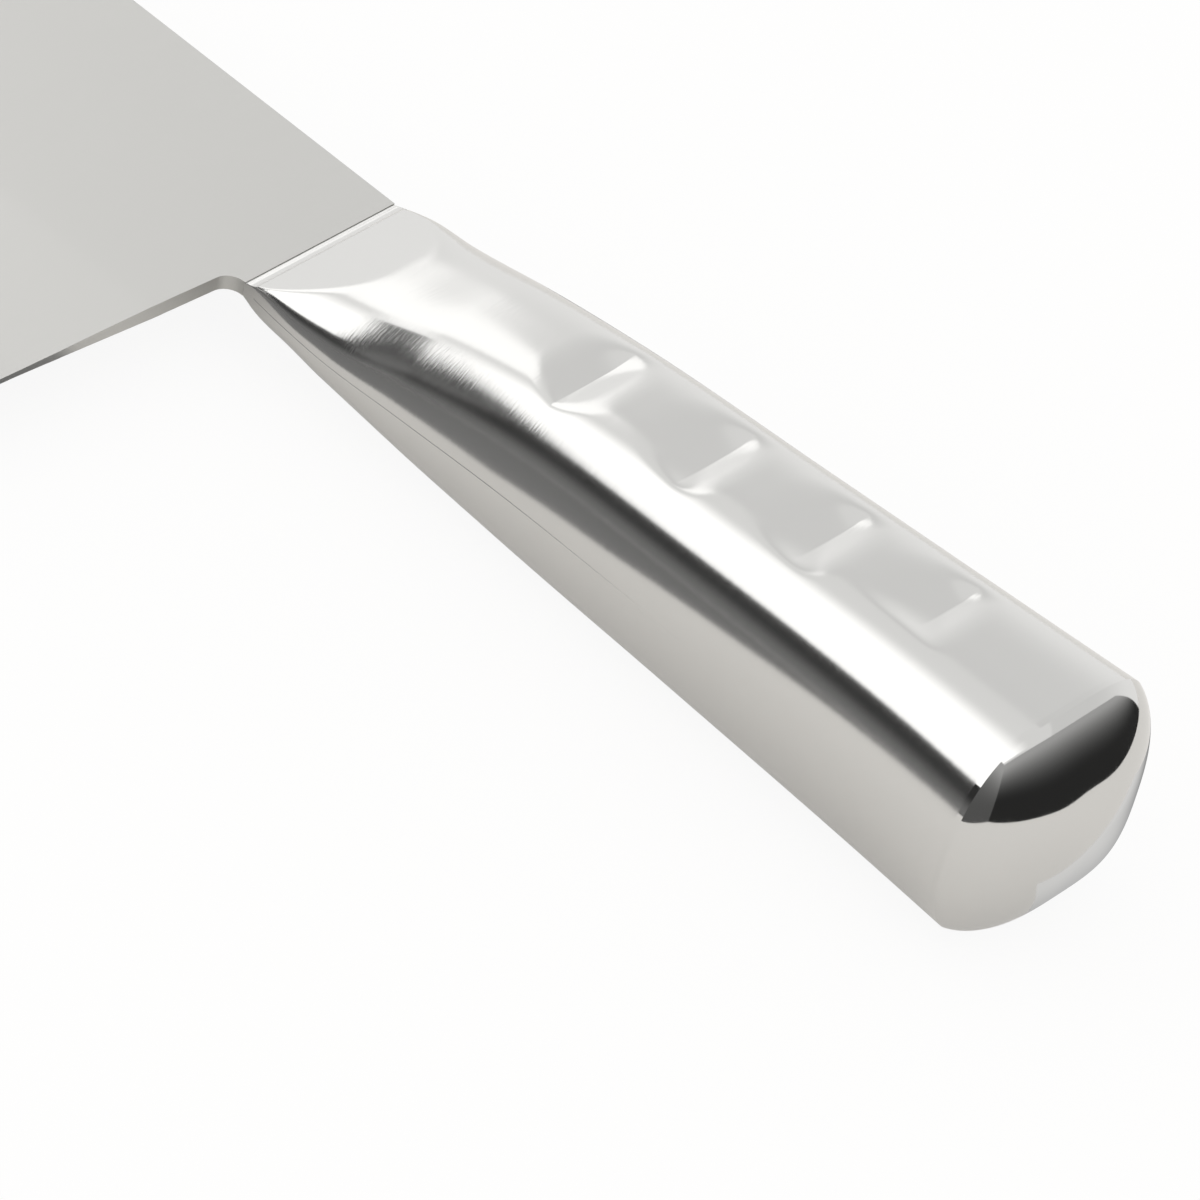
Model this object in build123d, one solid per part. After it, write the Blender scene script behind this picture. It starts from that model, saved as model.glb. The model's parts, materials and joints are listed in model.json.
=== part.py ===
from build123d import *
import math
import os

# Chinese cleaver, all stainless steel, millimetres.
# Built level: +X runs to the tip, +Y to the cutting edge, +Z out of the left face.
# X = 0 is the step where the blade meets the neck, Y = 0 the spine, Z = 0 the middle.
# The finished knife is then laid on its right face, as it rests on a table.

# Blade
blade_length = 205.0
blade_height = 92.0
blade_thickness = 2.1
flat_depth = 38.0
grind_depth = 62.0
grind_thickness = 0.8
bevel_depth = 4.0
bevel_thickness = 0.5
edge_thickness = 0.15
edge_sweep = 3.0
front_radius = 5.0
heel_radius = 2.0
choil_radius = 2.4
heel_slant = 3.5
tang_length = 24.0
tang_height = 14.0
tang_thickness = 1.6
tang_margin = 6.0

# Handle
handle_length = 115.0
neck_height = 25.6
butt_rise = 4.8
butt_drop = 2.9
butt_thickness = 30.2
wall = 1.2
facet_step = 0.95
facet_slope = 19.3
neck_weld_width = 1.8
seam_width = 0.8
cap_weld_width = 0.8

# Finger dimples, four on each side
dimple_count = 4
dimple_first = 43.0
dimple_end = 19.5
dimple_pitch_loss = 1.1
dimple_gap = 3.8
dimple_rise = 3.2
dimple_depth = 1.1
dimple_width = 15.0
dimple_width_loss = 1.5
dimple_centre = 13.2
dimple_centre_drift = 1.5

# End cap
cap_height = 7.0
cap_lean = 12.0
dome_power = 2.4
dome_steps = 4
dome_end = 80.0

overrun = 1.0

# Shape of the handle along its length, from the neck to the butt
station_share = (0, 0.05, 0.11, 0.22, 0.35, 0.61, 0.87, 1)
spine_share = (0, 0.30, 0.32, 0.22, 0.18, 0.38, 0.74, 1)
belly_share = (0, -0.30, -0.26, -0.10, -0.03, 0.24, 0.62, 1)
thickness_share = (0.17, 0.29, 0.43, 0.64, 0.78, 0.90, 0.98, 1)

# Shape of one cross section: flat crown, blunt spine, softer belly
belly_curve_share = ((1, 0), (1, 1.1), (0.29, 1), (0, 1))
spine_curve_share = ((0, 1), (-0.72, 1), (-1, 0.93), (-1, 0))


def between(shares, place):
    """Value of a table of shares at a distance behind the neck, or on past its end."""
    at = place / handle_length
    last = len(station_share) - 2
    i = next((k for k in range(last) if at <= station_share[k + 1]), last)
    low, high = station_share[i], station_share[i + 1]
    return shares[i] + (shares[i + 1] - shares[i]) * (at - low) / (high - low)


def spine_line(place):
    return -butt_rise * between(spine_share, place)


def belly_line(place):
    return neck_height + butt_drop * between(belly_share, place)


def half_thickness(place):
    return butt_thickness / 2 * between(thickness_share, place)


def crown_middle(place):
    return (spine_line(place) + belly_line(place)) / 2


def section(place, inset, scale=1, reach=0):
    """Closed cross section of the handle, inset from its skin, drawn reach further back."""
    middle = crown_middle(place)
    half_height = scale * (belly_line(place) - middle - inset)
    half_thick = scale * (half_thickness(place) - inset)
    quarters = []
    for share in (belly_curve_share, spine_curve_share):
        quarters.append([(-place - reach, middle + half_height * y, half_thick * z) for y, z in share])
    left = [Edge.make_bezier(*quarter) for quarter in quarters]
    right = [quarter.mirror(Plane.XY) for quarter in left]
    return Wire(left + right)


def slab(x_low, x_high, z_low, z_high):
    """Block that spans the whole handle across, for trimming."""
    low, high = -neck_height, 2 * neck_height
    return Pos((x_low + x_high) / 2, (low + high) / 2, (z_low + z_high) / 2) * Box(
        x_high - x_low, high - low, z_high - z_low
    )


def facet_height(place):
    return facet_step + place * math.tan(math.radians(facet_slope))


def above_facet(drop):
    """Wedge over the flat that runs up from the blade onto the neck."""
    start, end = -overrun, station_share[4] * handle_length
    top = facet_height(end)
    outline = Polyline(
        (-start, 0, facet_height(start) - drop),
        (-end, 0, facet_height(end) - drop),
        (-end, 0, top + butt_thickness),
        (-start, 0, top + butt_thickness),
        close=True,
    )
    wedge = extrude(make_face(outline), neck_height * 2, both=True)
    return wedge


def dimple_tool(index, inset):
    """Tool that presses one finger dimple: a long slope, a valley and a short rise."""
    last = dimple_count - 1
    pitch = (handle_length - dimple_first - dimple_end) / last
    valley = dimple_first + index * pitch + dimple_pitch_loss * index * (last - index) / 2
    run = pitch - dimple_gap - dimple_rise
    crown = half_thickness(valley) - inset
    start, end = valley - run - inset, valley + dimple_rise + inset
    top = crown + dimple_depth
    profile = Polyline(
        (-start, 0, crown),
        (-valley, 0, crown - dimple_depth),
        (-end, 0, crown),
        (-end, 0, top),
        (-start, 0, top),
        close=True,
    )
    along = extrude(make_face(profile), neck_height, both=True)
    middle = dimple_centre - index * dimple_centre_drift
    reach = (dimple_width - index * dimple_width_loss) / 2 + inset
    lens = BuildSketch(Plane.YZ)
    with lens:
        with BuildLine():
            sag = ThreePointArc(
                (middle - reach, crown), (middle, crown - dimple_depth), (middle + reach, crown)
            )
            Polyline(sag @ 1, (middle + reach, top), (middle - reach, top), sag @ 0)
        make_face()
    across = Pos(-start, 0, 0) * extrude(lens.sketch, start - end)
    return along & across


def blade_outline():
    heel_lean = math.tan(math.radians(heel_slant))
    heel_top = (choil_radius, neck_height + choil_radius)
    heel_low = blade_height - edge_sweep
    heel_foot = (choil_radius + (heel_low - heel_top[1]) * heel_lean, heel_low)
    with BuildSketch() as outline:
        with BuildLine():
            Line((0, 0), (blade_length, 0))
            Line((blade_length, 0), (blade_length, heel_low))
            ThreePointArc(
                (blade_length, heel_low),
                ((blade_length + heel_foot[0]) / 2, blade_height),
                heel_foot,
            )
            Line(heel_foot, heel_top)
            RadiusArc(heel_top, (0, neck_height), choil_radius)
            Line((0, neck_height), (0, 0))
        make_face()
        corners = outline.vertices()
        fillet(corners.filter_by_position(Axis.X, blade_length - overrun, blade_length), front_radius)
        fillet(outline.vertices().sort_by(Axis.Y)[-2:].sort_by(Axis.X)[0], heel_radius)
    return outline.sketch


def blade_section():
    """Flat upper part, hollow taper and short bevel, seen along the blade."""
    right = [
        (0, blade_thickness / 2),
        (flat_depth, blade_thickness / 2),
        (grind_depth, grind_thickness / 2),
        (blade_height - bevel_depth, bevel_thickness / 2),
        (blade_height, edge_thickness / 2),
    ]
    left = [(y, -z) for y, z in reversed(right)]
    return make_face(Plane.YZ * Polyline(*right, *left, close=True))


def tang():
    """Stub of the blade that sits in the neck."""
    return Pos(-tang_length / 2, tang_margin + tang_height / 2, 0) * Box(
        tang_length, tang_height, tang_thickness
    )


def blade():
    plate = extrude(blade_outline(), blade_thickness, both=True)
    ground = plate & extrude(blade_section(), blade_length, dir=(1, 0, 0))
    return ground + tang()


def neck_weld(outer):
    """Bead between blade and neck, ground to a small hollow step."""
    face, rise, back = blade_thickness / 2, facet_height(neck_weld_width), -neck_weld_width
    hollow_step = TangentArc((0, 0, face), (back, 0, rise), tangent=(-1, 0, 0))
    top = butt_thickness
    waste = Polyline(
        (back, 0, rise),
        (back - overrun, 0, rise),
        (back - overrun, 0, top),
        (overrun, 0, top),
        (overrun, 0, face),
        (0, 0, face),
    )
    above = extrude(make_face([hollow_step, waste]), neck_height * 2, both=True)
    bead = outer & slab(back, overrun, -top, top)
    return bead - above - mirror(above, Plane.XY) - tang()


def cap_weld():
    """Ring bead between the halves and the cap."""
    front, back = handle_length - cap_weld_width, handle_length
    bead = Solid.make_loft([section(front, 0), section(back, 0)], ruled=True)
    bore = Solid.make_loft([section(front - overrun, wall), section(back + overrun, wall)], ruled=True)
    return bead - bore


def handle_pieces():
    """Pressed halves and the weld beads that join them, cut from one hollow body."""
    places = [share * handle_length for share in station_share] + [handle_length + overrun]
    behind = slab(-handle_length - 2 * overrun, -handle_length, -butt_thickness, butt_thickness)
    outer = Solid.make_loft([section(place, 0) for place in places]) - behind
    hollow = Solid.make_loft([section(place, wall) for place in places[2:]])
    tube = outer - hollow - tang()
    far, deep = handle_length - cap_weld_width, butt_thickness
    pressed = outer - above_facet(0)
    inside = hollow - above_facet(wall)
    for index in range(dimple_count):
        pressed -= dimple_tool(index, 0)
        inside -= dimple_tool(index, wall)
    half = (pressed - inside - tang()) & slab(-far, -neck_weld_width, seam_width / 2, deep)
    seams = tube & slab(-far, -neck_weld_width, -seam_width / 2, seam_width / 2)
    spine_seam, belly_seam = seams.solids().sort_by(Axis.Y)
    return {
        "handle_shell_left": half,
        "handle_shell_right": mirror(half, Plane.XY),
        "spine_seam_weld": spine_seam,
        "belly_seam_weld": belly_seam,
        "neck_weld": neck_weld(outer),
        "cap_weld": cap_weld(),
    }


def cap_rings(inset):
    """Dome on the outline of the butt, its side leaning in from a sharp rim."""
    power = 2 / dome_power
    lean = math.radians(cap_lean)
    rim_scale, rim_height = math.cos(lean) ** power, math.sin(lean) ** power
    rings = []
    for i in range(dome_steps + 1):
        angle = lean + (math.radians(dome_end) - lean) * i / dome_steps
        height = (math.sin(angle) ** power - rim_height) / (1 - rim_height)
        scale = math.cos(angle) ** power / rim_scale
        rings.append(section(handle_length, inset, scale, (cap_height - inset) * height))
    return rings


def end_cap():
    outer, inner = cap_rings(0), cap_rings(wall)
    opening = section(handle_length, wall, reach=-overrun)
    mouth = Solid.make_loft([opening, inner[0]])
    return Solid.make_loft(outer) - Solid.make_loft(inner) - mouth


def laid_on_table(pieces):
    """Turn the level knife onto its right face, centred over the table, lowest point at zero."""
    half = blade_thickness / 2
    near = Vector(blade_length, flat_depth, -half)
    low = Vector(blade_length, blade_height - bevel_depth, -bevel_thickness / 2)
    places = [share * handle_length for share in station_share]
    fullest = max(places, key=lambda at: (half_thickness(at) - half) / (at + blade_length))
    back = Vector(-fullest, crown_middle(fullest), -half_thickness(fullest))
    table = Plane(near, x_dir=(1, 0, 0), z_dir=(near - back).cross(low - near))
    turned = {name: piece.moved(table.location.inverse()) for name, piece in pieces.items()}
    box = Compound(list(turned.values())).bounding_box()
    middle = box.center()
    return {name: Pos(-middle.X, -middle.Y, -box.min.Z) * piece for name, piece in turned.items()}


knife = laid_on_table({"blade": blade(), **handle_pieces(), "end_cap": end_cap()})
os.makedirs("parts", exist_ok=True)
for name, piece in knife.items():
    export_step(piece, f"parts/{name}.step")
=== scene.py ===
import json
import math

import bmesh
import bpy
import numpy as np
from mathutils import Matrix, Vector


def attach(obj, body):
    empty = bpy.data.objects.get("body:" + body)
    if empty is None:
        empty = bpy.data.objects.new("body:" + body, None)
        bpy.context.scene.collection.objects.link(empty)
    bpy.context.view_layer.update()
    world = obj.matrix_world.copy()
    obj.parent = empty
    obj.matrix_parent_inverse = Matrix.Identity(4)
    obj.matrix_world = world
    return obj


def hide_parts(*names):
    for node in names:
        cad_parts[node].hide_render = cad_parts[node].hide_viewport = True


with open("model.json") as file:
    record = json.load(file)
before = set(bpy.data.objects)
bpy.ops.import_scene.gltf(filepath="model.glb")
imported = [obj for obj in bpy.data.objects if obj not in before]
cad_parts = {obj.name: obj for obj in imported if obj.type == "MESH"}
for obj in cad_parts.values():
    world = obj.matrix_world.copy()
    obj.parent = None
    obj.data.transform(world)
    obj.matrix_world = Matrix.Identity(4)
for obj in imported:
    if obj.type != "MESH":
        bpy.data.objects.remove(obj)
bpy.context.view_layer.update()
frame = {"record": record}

# Where the knife lies: on the right side of its blade and handle.
# Its own axes are level with the blade: x to the tip, y to the cutting edge, z out of the
# left face. Zero is at the step of the neck, on the spine, in the middle of the blade.
mm = 0.001
blade_thickness = 2.1
mount_along, mount_across = 102.5, 18
left_face = next(m for m in frame["record"]["mounts"] if m["name"] == "blade_face_left")
on_left_face = Vector((mount_along, mount_across, blade_thickness / 2)) * mm
out_of_face = Vector(left_face["axis"]).normalized()
to_tip = Vector((out_of_face.z, 0, -out_of_face.x)).normalized()
to_edge = out_of_face.cross(to_tip)
laid = Matrix((to_tip, to_edge, out_of_face)).transposed()
knife_zero = Vector(left_face["pos_m"]) - laid @ on_left_face
as_it_lies = Matrix.Translation(knife_zero) @ laid.to_4x4()


# Blade: one ground plate of stainless steel, flat near the spine, hollow towards the edge.
# It is cut with a slanted heel and a small round choil, its corners are broken by hand, and
# both faces have a satin finish from a fine belt.
blade_length, blade_height = 205, 92
neck_height, choil_radius, heel_slant = 25.6, 2.4, 3.5
front_radius, heel_radius, edge_sweep = 5, 2, 3
depth_of_grind = (0, 34, 38, 44, 52, 59, 64, 88, 91.9, blade_height)
thickness_of_grind = (blade_thickness, blade_thickness, 2.06, 1.7, 1.2, 0.84, 0.76, 0.5, 0.17, 0.15)
arc_points, sweep_points, sweep_margin = 9, 24, 0.04
first_row, row_gap = 30, 2
broken_width, broken_angle, joint_margin, upright_height = 0.22, 60, 0.01, 0.3
smooth_angle = 35
satin_steel = (0.575, 0.57, 0.55)
satin_grain, satin_cloud, satin_relief = (2500, 160, 400), (9, 12, 9), 0.000004


class Value:
    """One output of a shader node. Python's signs between values add Math nodes."""

    def __init__(self, finish, socket):
        self.finish, self.socket = finish, socket

    def math(self, operation, *terms):
        return self.finish.node("ShaderNodeMath", {"operation": operation}, dict(enumerate(terms)))

    def __add__(self, other):
        return self.math("ADD", self, other)

    def __mul__(self, other):
        return self.math("MULTIPLY", self, other)

    __radd__, __rmul__ = __add__, __mul__


class Finish:
    """A material made of shader nodes."""

    def __init__(self, name):
        self.material = bpy.data.materials.new(name)
        self.material.use_nodes = True
        self.material.node_tree.nodes.clear()

    def node(self, kind, settings, inputs, output=0):
        made = self.material.node_tree.nodes.new(kind)
        for name, value in settings.items():
            setattr(made, name, value)
        for name, value in inputs.items():
            if isinstance(value, Value):
                self.material.node_tree.links.new(value.socket, made.inputs[name])
            else:
                made.inputs[name].default_value = value
        return Value(self, made.outputs[output]) if made.outputs else None

    def place(self, stretch=(1, 1, 1)):
        """Place on the piece along its own axes, each of them stretched."""
        at = self.node("ShaderNodeTexCoord", {}, {}, "Object")
        return self.node("ShaderNodeVectorMath", {"operation": "MULTIPLY"}, {0: at, 1: stretch})

    def noise(self, stretch, detail=2):
        inputs = {"Vector": self.place(stretch), "Scale": 1, "Detail": detail}
        return self.node("ShaderNodeTexNoise", {}, inputs, "Fac")

    def ease(self, value, low, high, to_low=0, to_high=1):
        """A smooth step from one level to another while the value goes from low to high."""
        inputs = {"Value": value, "From Min": low, "From Max": high, "To Min": to_low, "To Max": to_high}
        return self.node("ShaderNodeMapRange", {"interpolation_type": "SMOOTHSTEP"}, inputs)

    def steel(self, colour, roughness, height, relief):
        bump = self.node("ShaderNodeBump", {}, {"Strength": 1, "Distance": relief, "Height": height})
        surface = {"Base Color": (*colour, 1), "Metallic": 1, "Roughness": roughness, "Normal": bump}
        shader = self.node("ShaderNodeBsdfPrincipled", {}, surface)
        self.node("ShaderNodeOutputMaterial", {}, {"Surface": shader})
        return self.material


def fit(name, mesh, material, node):
    """Puts a finished piece on the lying knife, where it stands for its CAD node."""
    mesh.materials.append(material)
    mesh.shade_smooth()
    mesh.set_sharp_from_angle(angle=math.radians(smooth_angle))
    piece = bpy.data.objects.new(name, mesh)
    bpy.context.scene.collection.objects.link(piece)
    piece.matrix_world = as_it_lies
    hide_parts(node)
    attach(piece, "root")
    return piece


def rounded(corners):
    """Outline through corners given as x, y and radius, with an arc in each round one."""
    points = []
    for i, (x, y, radius) in enumerate(corners):
        here = np.array((x, y), float)
        before, after = (np.array(corners[j % len(corners)][:2], float) for j in (i - 1, i + 1))
        if radius == 0:
            points.append(here)
            continue
        back, on = (side / np.linalg.norm(side) for side in (before - here, after - here))
        half_turn = math.acos(np.dot(back, on)) / 2
        centre = here + (back + on) / np.linalg.norm(back + on) * radius / math.sin(half_turn)
        reach = radius / math.tan(half_turn)
        start, end = here + back * reach - centre, here + on * reach - centre
        for share in np.linspace(0, 1, arc_points):
            spoke = start * (1 - share) + end * share
            points.append(centre + spoke / np.linalg.norm(spoke) * radius)
    return points


def blade_mesh():
    """Two faces of the plate, cut into rows by depth and joined round the outline."""
    lean = math.tan(math.radians(heel_slant))
    edge_end = blade_height - edge_sweep
    heel_foot = choil_radius + (edge_end - neck_height) * lean
    corners = [(0, 0, 0), (blade_length, 0, front_radius), (blade_length, edge_end, front_radius)]
    for share in np.linspace(sweep_margin, 1 - sweep_margin, sweep_points):
        x = blade_length + (heel_foot - blade_length) * share
        corners.append((x, blade_height - edge_sweep * (2 * share - 1) ** 2, 0))
    corners += [(heel_foot, edge_end, heel_radius), (choil_radius, neck_height, choil_radius)]
    corners += [(0, neck_height, 0)]
    grown = bmesh.new()
    outline = [grown.verts.new((x, y, 0)) for x, y in rounded(corners)]
    grown.faces.new(outline)
    for depth in (*range(first_row, blade_height, row_gap), depth_of_grind[-2]):
        everything = [*grown.verts, *grown.edges, *grown.faces]
        bmesh.ops.bisect_plane(grown, geom=everything, plane_co=(0, depth, 0), plane_no=(0, 1, 0))
    left = list(grown.verts)
    copied = bmesh.ops.duplicate(grown, geom=[*grown.verts, *grown.edges, *grown.faces])
    right = {v: copied["vert_map"][v] for v in left}
    bmesh.ops.reverse_faces(grown, faces=[f for f in copied["geom"] if isinstance(f, bmesh.types.BMFace)])
    softened = grown.edges.layers.float.new("bevel_weight_edge")
    rim = [e for e in grown.edges if e.is_boundary and e.verts[0] in right]
    for edge in rim:
        loop = edge.link_loops[0]
        one, two = loop.vert, loop.link_loop_next.vert
        grown.faces.new((two, one, right[one], right[two]))
    for vert in left:
        half = np.interp(vert.co.y, depth_of_grind, thickness_of_grind) / 2
        vert.co.z, right[vert].co.z = half, -half
    for edge in grown.edges:
        a, b = edge.verts
        sharp = len(edge.link_faces) == 2 and edge.calc_face_angle() > math.radians(broken_angle)
        free = max(a.co.x, b.co.x) > joint_margin and max(a.co.y, b.co.y) < depth_of_grind[-3]
        if sharp and free and abs(a.co.z - b.co.z) < upright_height:
            edge[softened] = 1
    bmesh.ops.scale(grown, vec=(mm, mm, mm), verts=grown.verts)
    mesh = bpy.data.meshes.new("blade_plate")
    grown.to_mesh(mesh)
    grown.free()
    return mesh


def blade_finish():
    satin = Finish("satin_blade")
    grain = satin.noise(satin_grain, 3)
    cloud = satin.noise(satin_cloud)
    roughness = 0.27 + 0.05 * grain + 0.06 * cloud
    return satin.steel(satin_steel, roughness, grain + 0.4 * cloud, satin_relief)


blade = fit("cleaver_blade", blade_mesh(), blade_finish(), "blade")
broken = blade.modifiers.new("broken_corners", "BEVEL")
broken.limit_method, broken.width, broken.segments = "WEIGHT", broken_width * mm, 3
broken.harden_normals = True


# Left half of the handle: stainless sheet pressed into a half tube. Its neck is flattened to
# a slanted facet, and four finger dimples are pressed into its crown, each with a long
# slope from the neck side, a valley and a short rise. It is polished, with fine hair lines.
handle_length, butt_thickness, wall = 115, 30.2, 1.2
butt_rise, butt_drop = 4.8, 2.9
facet_step, facet_slope, facet_blend = 0.95, 19.3, 0.2
neck_weld_width, seam_width, cap_weld_width = 1.8, 0.8, 0.8

# Along the handle, from the neck to the butt: the lines of spine and belly, the thickness,
# the place of the crown, how square the section is towards the belly, and how far the handle
# lies below the level of the blade.
station_share = (0, 0.05, 0.11, 0.22, 0.35, 0.61, 0.87, 1)
spine_share = (0, 0.30, 0.32, 0.22, 0.18, 0.38, 0.74, 1)
belly_share = (0, 0.06, 0, -0.06, -0.02, 0.24, 0.62, 1)
thickness_share = (0.17, 0.31, 0.44, 0.65, 0.79, 0.90, 0.98, 1)
crown_share = (0.5, 0.48, 0.45, 0.45, 0.48, 0.5, 0.5, 0.5)
crown_power = (4, 3.6, 3.4, 3.4, 3.5, 3.6, 3.6, 3.6)
belly_power = (6, 3, 2.3, 2.1, 2.1, 2.1, 2.1, 2.1)
spine_power = 2.9
handle_sag = (0, 0.6, 1.35, 1.1, 0.4, 0, 0, 0)

# Finger dimples: how far each valley lies behind the neck, its slope and rise along the
# handle, and the trough across the handle that cuts it off, with its middle and half width.
dimple_valley = (42.5, 61.2, 78.6, 95)
dimple_run, dimple_rise, dimple_depth = 9.5, 3.4, 1.1
dimple_middle = (13.9, 12.6, 11.6, 9.5)
dimple_reach = (10, 9, 8.2, 6.9)
trough_depth, trough_blend, rim_blend = 1.6, 0.7, 0.5
skin_rows, skin_columns, fine_points, valley_gap = 230, 130, 4001, 0.1
polished_steel = (0.64, 0.635, 0.62)
hair_stretch, wear_stretch, hair_relief = (5200, 500, 500), (60, 60, 60), 0.000008


def along(shares, place):
    """Smooth curve through a table of shares, read at distances behind the neck."""
    stations = np.array(station_share) * handle_length
    slopes = np.gradient(np.array(shares, float), stations)
    i = np.clip(np.searchsorted(stations, place, side="right") - 1, 0, len(stations) - 2)
    step = stations[i + 1] - stations[i]
    t = (place - stations[i]) / step
    start, end = np.array(shares)[i], np.array(shares)[i + 1]
    pull = (t - 2 * t**2 + t**3) * slopes[i] + (t**3 - t**2) * slopes[i + 1]
    return start + (end - start) * t**2 * (3 - 2 * t) + step * pull


def lower_of(a, b, blend):
    """The lower of two surfaces, rounded over where they cross."""
    share = np.clip(0.5 + 0.5 * (b - a) / blend, 0, 1)
    return b * (1 - share) + a * share - blend * share * (1 - share)


def pressed(place, y, z):
    """Height of the skin after the neck facet and the finger dimples are pressed in."""
    facet = facet_step + place * math.tan(math.radians(facet_slope))
    z = lower_of(z, facet + along(handle_sag, place), facet_blend)
    for valley, middle, reach in zip(dimple_valley, dimple_middle, dimple_reach):
        crown = butt_thickness / 2 * along(thickness_share, np.array(valley))
        s = place - valley
        slope = -dimple_depth * (1 + s / dimple_run)
        rise = -dimple_depth * (1 - s / dimple_rise)
        trough = -trough_depth * (1 - ((y - middle) / reach) ** 2)
        floor = -lower_of(-np.maximum(slope, rise), -trough, trough_blend)
        z = lower_of(z, crown + floor, rim_blend)
    return z


def skin(place, across, inset=0):
    """Points of the left skin at distances behind the neck and shares from belly to spine."""
    spine = -butt_rise * along(spine_share, place)
    belly = neck_height + butt_drop * along(belly_share, place)
    crown = spine + (belly - spine) * along(crown_share, place)
    reach = np.where(across > 0, belly - crown, crown - spine) - inset
    half_thick = butt_thickness / 2 * along(thickness_share, place) - inset
    power = np.where(across > 0, along(belly_power, place), spine_power)
    flatness = np.where(across > 0, along(crown_power, place), crown_power[-1])
    turn = across * (1 - (seam_width / 2 / half_thick) ** power) ** (1 / flatness)
    y = crown + reach * turn
    z = half_thick * np.maximum(1 - np.abs(turn) ** flatness, 0) ** (1 / power)
    z = np.maximum(pressed(place, y, z + inset) - inset, seam_width / 2)
    return np.stack((-place + 0 * y, y, z), -1)


def even_shares(count):
    """Shares from belly to spine that lie evenly round the section of the butt."""
    fine = np.cos(np.linspace(0, math.pi, fine_points))
    power = np.where(fine > 0, belly_power[-1], spine_power)
    rise = butt_thickness / 2 * (1 - np.abs(fine) ** crown_power[-1]) ** (1 / power)
    steps = np.hypot(np.diff(fine) * neck_height / 2, np.diff(rise))
    run = np.concatenate(([0], np.cumsum(steps)))
    return np.interp(np.linspace(0, run[-1], count), run, fine)


def quads(index):
    """Faces between neighbouring points of a grid."""
    corners = (index[:-1, :-1], index[1:, :-1], index[1:, 1:], index[:-1, 1:])
    return np.stack(corners, -1).reshape(-1, 4)


def mesh_of(name, points, faces):
    """Mesh from level points, let down to the handle's slight sag behind the neck."""
    points = points - along(handle_sag, -points[:, :1]) * (0, 0, 1)
    mesh = bpy.data.meshes.new(name)
    mesh.from_pydata((points * mm).tolist(), [], faces.tolist())
    mesh.update()
    return mesh


def walled(name, outer, inner, side=1):
    """Closed mesh of a pressed sheet, from the points of its outer and inner skins."""
    index = np.arange(outer[..., 0].size).reshape(outer.shape[:2])
    under = index + index.size
    rim, under_rim = (
        np.concatenate((grid[0], grid[1:, -1], grid[-1, -2::-1], grid[-2::-1, 0])) for grid in (index, under)
    )
    edge = np.stack((rim[:-1], rim[1:], under_rim[1:], under_rim[:-1]), -1)
    faces = np.concatenate((quads(index)[:, ::side], quads(under)[:, ::-side], edge[:, ::side]))
    points = np.concatenate((outer.reshape(-1, 3), inner.reshape(-1, 3))) * (1, 1, side)
    return mesh_of(name, points, faces)


rows = [np.linspace(neck_weld_width, handle_length - cap_weld_width, skin_rows)]
rows += [valley + np.array((-valley_gap, 0, valley_gap)) for valley in dimple_valley]
places = np.unique(np.concatenate(rows))[:, None]
shares = even_shares(skin_columns)[None, :]
outer_skin, inner_skin = skin(places, shares), skin(places, shares, wall)


def handle_finish():
    polish = Finish("brushed_polish")
    hairs = polish.noise(hair_stretch, 3)
    wear = polish.noise(wear_stretch)
    roughness = 0.13 + 0.1 * hairs * wear
    return polish.steel(polished_steel, roughness, hairs, hair_relief)


brushed = handle_finish()
left_mesh = walled("left_half", outer_skin, inner_skin)
fit("left_handle_half", left_mesh, brushed, "handle_shell_left")


# Right half of the handle: the same sheet, pressed in a mirrored die and welded to the left
# half. The knife lies on it.
right_mesh = walled("right_half", outer_skin, inner_skin, -1)
fit("right_handle_half", right_mesh, brushed, "handle_shell_right")


# Seam beads: the two halves meet in a weld along the spine and one along the belly, each
# ground flush with the skin and polished over, so that only a hair line is left of it.
hair_line_depth, hair_line_width, seam_columns = 0.03, 0.08, 17


def seam_mesh(name, edge):
    """Strip between the halves, at share 1 for the belly or -1 for the spine."""
    across = np.linspace(-1, 1, seam_columns)[None, :]
    z = across * seam_width / 2
    if edge > 0:
        tip = neck_height + butt_drop * along(belly_share, places)
    else:
        tip = -butt_rise * along(spine_share, places)
    rim = skin(places, np.array([[edge]]))[..., 1]
    y = tip + (rim - tip) * across**2
    groove = edge * hair_line_depth * np.exp(-((z / hair_line_width) ** 2))
    outer = np.stack((-places + 0 * y, y - groove, z + 0 * y), -1)
    inner = outer - np.array((0, edge * wall, 0))
    return walled(name, outer[:, ::edge], inner[:, ::edge])


belly_mesh, spine_mesh = seam_mesh("belly_bead", 1), seam_mesh("spine_bead", -1)
fit("belly_seam_bead", belly_mesh, brushed, "belly_seam_weld")
fit("spine_seam_bead", spine_mesh, brushed, "spine_seam_weld")


# Neck bead: the weld between blade and handle, ground to a shallow hollow step across the
# blade, from the flat of the blade up to the start of the neck facet. It laps onto the blade.
bead_lap, bead_lift, bead_rows = 0.1, 0.004, 14


def ring_of(points):
    """Whole section of the handle from its left skin, closed at belly and spine."""
    return np.concatenate((points, points[:, ::-1] * (1, 1, -1), points[:, :1]), 1)


def neck_mesh():
    steps = np.linspace(-bead_lap, neck_weld_width, bead_rows)[:, None]
    points = skin(steps, shares)
    flat = blade_thickness / 2
    rise = facet_step + neck_weld_width * math.tan(math.radians(facet_slope))
    hollow = flat + bead_lift + (rise - flat) * (steps / neck_weld_width) ** 2 + along(handle_sag, steps)
    points[..., 2] = np.minimum(points[..., 2], hollow)
    ring = ring_of(points)
    index = np.arange(ring[..., 0].size).reshape(ring.shape[:2])
    return mesh_of("neck_bead", ring.reshape(-1, 3), quads(index))


fit("neck_bead", neck_mesh(), brushed, "neck_weld")


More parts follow.
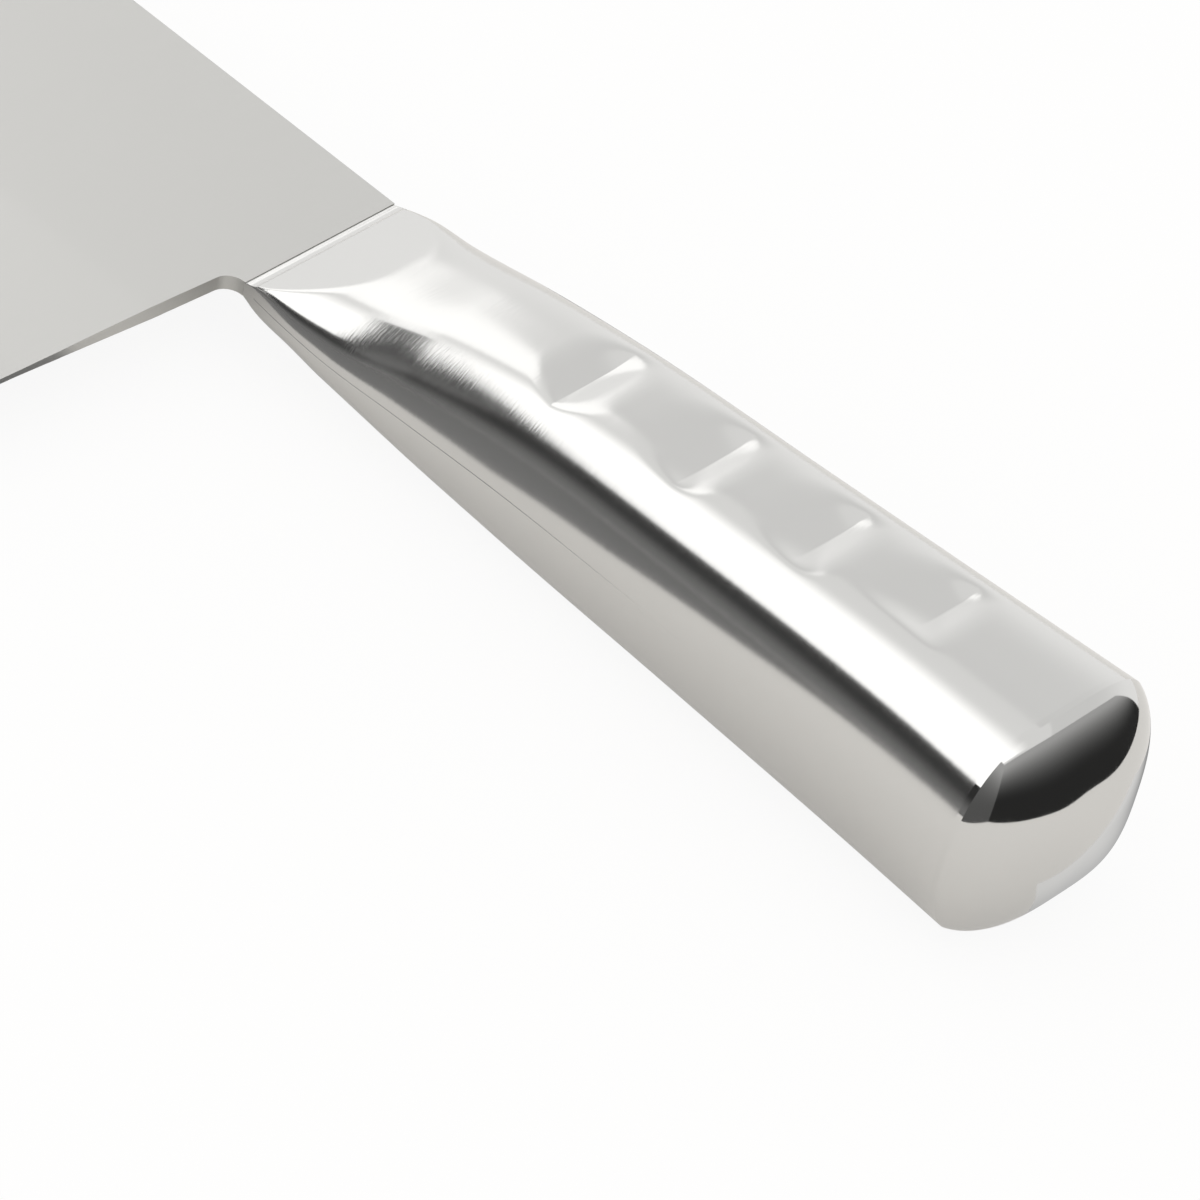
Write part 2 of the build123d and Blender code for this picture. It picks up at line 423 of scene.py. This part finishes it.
# End cap: a domed sheet cap, its side leaning in from the butt's outline to a full crown.
# A narrow ring bead joins it to the halves, ground to a sharp crease. It is mirror polished.
cap_height, cap_lean, dome_power = 8.2, 12, 2
ring_rows, dome_rows = 4, 48
mirror_steel = (0.63, 0.625, 0.61)
haze_stretch, haze_relief = (700, 700, 700), 0.000001


def ring_mesh():
    steps = np.linspace(handle_length - cap_weld_width, handle_length, ring_rows)[:, None]
    ring = ring_of(skin(steps, shares))
    index = np.arange(ring[..., 0].size).reshape(ring.shape[:2])
    return mesh_of("cap_ring", ring.reshape(-1, 3), quads(index))


def cap_mesh():
    """Dome of shrinking rings on the outline of the butt, closed by a fan at its middle."""
    power = 2 / dome_power
    lean = math.radians(cap_lean)
    angle = np.linspace(lean, math.pi / 2, dome_rows + 1)[:-1, None]
    low, wide = math.sin(lean) ** power, math.cos(lean) ** power
    height = cap_height * (np.sin(angle) ** power - low) / (1 - low)
    scale = np.cos(angle) ** power / wide
    rim = ring_of(skin(np.array([[handle_length]], float), shares))[0, :-1]
    centre = np.array((-handle_length, rim[:, 1].min() / 2 + rim[:, 1].max() / 2, 0))
    rings = centre + (rim - centre)[None] * scale[..., None]
    rings[..., 0] -= height
    index = np.arange(rings[..., 0].size).reshape(rings.shape[:2])
    index = np.concatenate((index, index[:, :1]), 1)
    points = np.concatenate((rings.reshape(-1, 3), [centre - (cap_height, 0, 0)]))
    faces = quads(index).tolist()
    faces += [(b, a, len(points) - 1) for a, b in zip(index[-1, :-1].tolist(), index[-1, 1:].tolist())]
    mesh = bpy.data.meshes.new("cap_dome")
    mesh.from_pydata((points * mm).tolist(), [], faces)
    mesh.update()
    return mesh


def cap_finish():
    mirror = Finish("mirror_polish")
    haze = mirror.noise(haze_stretch, 3)
    return mirror.steel(mirror_steel, 0.04 + 0.04 * haze, haze, haze_relief)


bright = cap_finish()
fit("cap_ring_bead", ring_mesh(), bright, "cap_weld")
fit("domed_end_cap", cap_mesh(), bright, "end_cap")


# Table: a wide pale sheet that the knife lies on. It keeps the knife's shadow, lights the
# steel from below, and looks nearly white to the camera.
table_reach, table_colour = 3, (0.95, 0.93, 0.9)
fibre_stretch, white_to_camera, white_in_steel = (900, 900, 900), 0.9, 0.15
table_mesh = bpy.data.meshes.new("table_top")
table_corners = [(x * table_reach, y * table_reach, 0) for x, y in ((-1, -1), (1, -1), (1, 1), (-1, 1))]
table_mesh.from_pydata(table_corners, [], [(0, 1, 2, 3)])
table = bpy.data.objects.new("table", table_mesh)
bpy.context.scene.collection.objects.link(table)
pale = Finish("pale_table")
fibre = pale.noise(fibre_stretch)
paper = pale.node("ShaderNodeBsdfDiffuse", {}, {"Color": (*table_colour, 1), "Roughness": 0.4 + 0.2 * fibre})
white = pale.node("ShaderNodeEmission", {}, {"Color": (1, 1, 1, 1), "Strength": 1})
seen = pale.node("ShaderNodeLightPath", {}, {}, "Is Camera Ray")
shown = pale.node("ShaderNodeLightPath", {}, {}, "Is Glossy Ray")
through = pale.node("ShaderNodeLightPath", {}, {}, "Is Transmission Ray")
shown_white = white_to_camera * seen + white_in_steel * (shown + through)
blend = pale.node("ShaderNodeMixShader", {}, {"Fac": shown_white, 1: paper, 2: white})
pale.node("ShaderNodeOutputMaterial", {}, {"Surface": blend})
table_mesh.materials.append(pale.material)


# Studio: a white room with glowing and dark panels round the knife, which only reflections
# see. They give the polished steel its bright and dark bands.


def card(name, corners, axis, fade, strengths):
    """Glowing panel, placed from the neck step, which changes strength along one axis."""
    mesh = bpy.data.meshes.new(name)
    mesh.from_pydata(corners, [], [range(len(corners))])
    panel = bpy.data.objects.new(name, mesh)
    bpy.context.scene.collection.objects.link(panel)
    panel.location = (knife_zero.x, knife_zero.y, 0)
    glow = Finish(name)
    along_axis = glow.node("ShaderNodeSeparateXYZ", {}, {0: glow.place()}, axis)
    shade = glow.ease(along_axis, *fade, *strengths)
    light = glow.node("ShaderNodeEmission", {}, {"Color": shade, "Strength": 1})
    glow.node("ShaderNodeOutputMaterial", {}, {"Surface": light})
    mesh.materials.append(glow.material)
    panel.visible_camera = panel.visible_diffuse = panel.visible_shadow = False


def level(x_low, x_high, y_low, y_high, z):
    """Corners of a panel that lies or hangs level."""
    return [(x_low, y_low, z), (x_high, y_low, z), (x_high, y_high, z), (x_low, y_high, z)]


def upright(start, end, z_low, z_high):
    """Corners of a panel that stands between two places on the table."""
    return [(*start, z_low), (*end, z_low), (*end, z_high), (*start, z_high)]


# Soft light: a box over the knife that comes down in front of its edge, a tall panel past the
# tip, and a backdrop behind the spine that gets a little darker towards its top.
card("soft_box", level(-0.5, 1.4, -0.4, 1.05, 1), "Y", (-0.35, 0.1), (1, 1.7))
card("soft_front", upright((-0.5, 1.05), (1.4, 1.05), 0.1, 1), "Z", (0.1, 0.3), (1.4, 1.7))
card("backdrop", upright((-1.2, -1.2), (2.4, -1.2), 0, 1.6), "Z", (0.3, 1.4), (1.1, 0.88))
card("soft_side", upright((1.3, -1.19), (1.3, 0.9), 0.5, 1.6), "Z", (0.5, 0.6), (1.1, 1.6))

# Dark cards by the belly of the handle, past the front end of the blade and round the butt. The
# outline of the one in front is the line between the handle's dark band and the white above it.
card("belly_card", upright((-0.14, 0.125), (0.05, 0.125), 0, 0.068), "Z", (0.004, 0.04), (0.22, 0.035))
edge_outline = [(-0.05, 0), (0.65, 0), (0.65, 0.3), (0.5, 0.32), (0.4, 0.335), (0.2, 0.34), (-0.02, 0.32)]
card("edge_card", [(0.35, y, z) for y, z in edge_outline], "Z", (0.16, 0.28), (0.2, 0.04))
card("butt_card", upright((-0.24, -0.42), (-0.24, 0.125), 0.002, 0.3), "Z", (0.05, 0.26), (0.03, 0.5))
card("butt_corner", upright((-0.24, 0.125), (-0.14, 0.125), 0.002, 0.3), "Z", (0.03, 0.22), (0.12, 0.5))

# Painted shadows on the table, seen only in the steel's reflections: one grey patch under the handle, dark
# beneath it and paler past the butt, and one under the heel of the blade.
heel_outline = [(-0.03, 0.043), (-0.045, 0.052), (-0.058, 0.072), (-0.061, 0.09), (-0.06, 0.12)]
heel_outline += [(0.3, 0.12), (0.3, 0.043)]
# Painted contact shadow under the handle, paler past the butt.
card("painted_shadow_under_handle", level(-0.133, -0.01, -0.03, 0.012, 0.0005), "X", (-0.133, -0.108), (0.9, 0.2))
# Painted shade on the table under the heel of the blade.
card("painted_shade_under_heel", [(x, y, 0.0005) for x, y in heel_outline], "Y", (0.04, 0.12), (0.24, 0.2))

room = bpy.data.worlds.new("white_room")
room.use_nodes = True
room.node_tree.nodes["Background"].inputs["Color"].default_value = (1, 1, 1, 1)
room.node_tree.nodes["Background"].inputs["Strength"].default_value = 1
bpy.context.scene.world = room
bpy.context.scene.view_settings.view_transform = "Standard"


# Camera: a long lens over the butt end, looking down along the handle to the blade.
view_angle = 8
turn_round, look_down, roll = 57.05, 41.41, 15.23
aim = Vector((-40, 14, 0)) * mm
distance, shift_right, shift_up = 1.0009, 0.00553, -0.01846
turn, dip, tip = (math.radians(v) for v in (turn_round, look_down, roll))
back = Vector((-math.cos(turn) * math.cos(dip), math.sin(turn) * math.cos(dip), math.sin(dip)))
sideways = Vector((-back.y, back.x, 0)).normalized()
right = sideways * math.cos(tip) + back.cross(sideways) * math.sin(tip)
upward = back.cross(right)
lens = bpy.data.cameras.new("studio_lens")
lens.sensor_width = 36
lens.lens = lens.sensor_width / 2 / math.tan(math.radians(view_angle / 2))
lens.clip_start, lens.clip_end = 0.05, 20
camera = bpy.data.objects.new("camera", lens)
bpy.context.scene.collection.objects.link(camera)
stand = aim + back * distance + right * shift_right + upward * shift_up
axes = Matrix((right, upward, back)).transposed().to_4x4()
camera.matrix_world = as_it_lies @ Matrix.Translation(stand) @ axes
bpy.context.scene.camera = camera
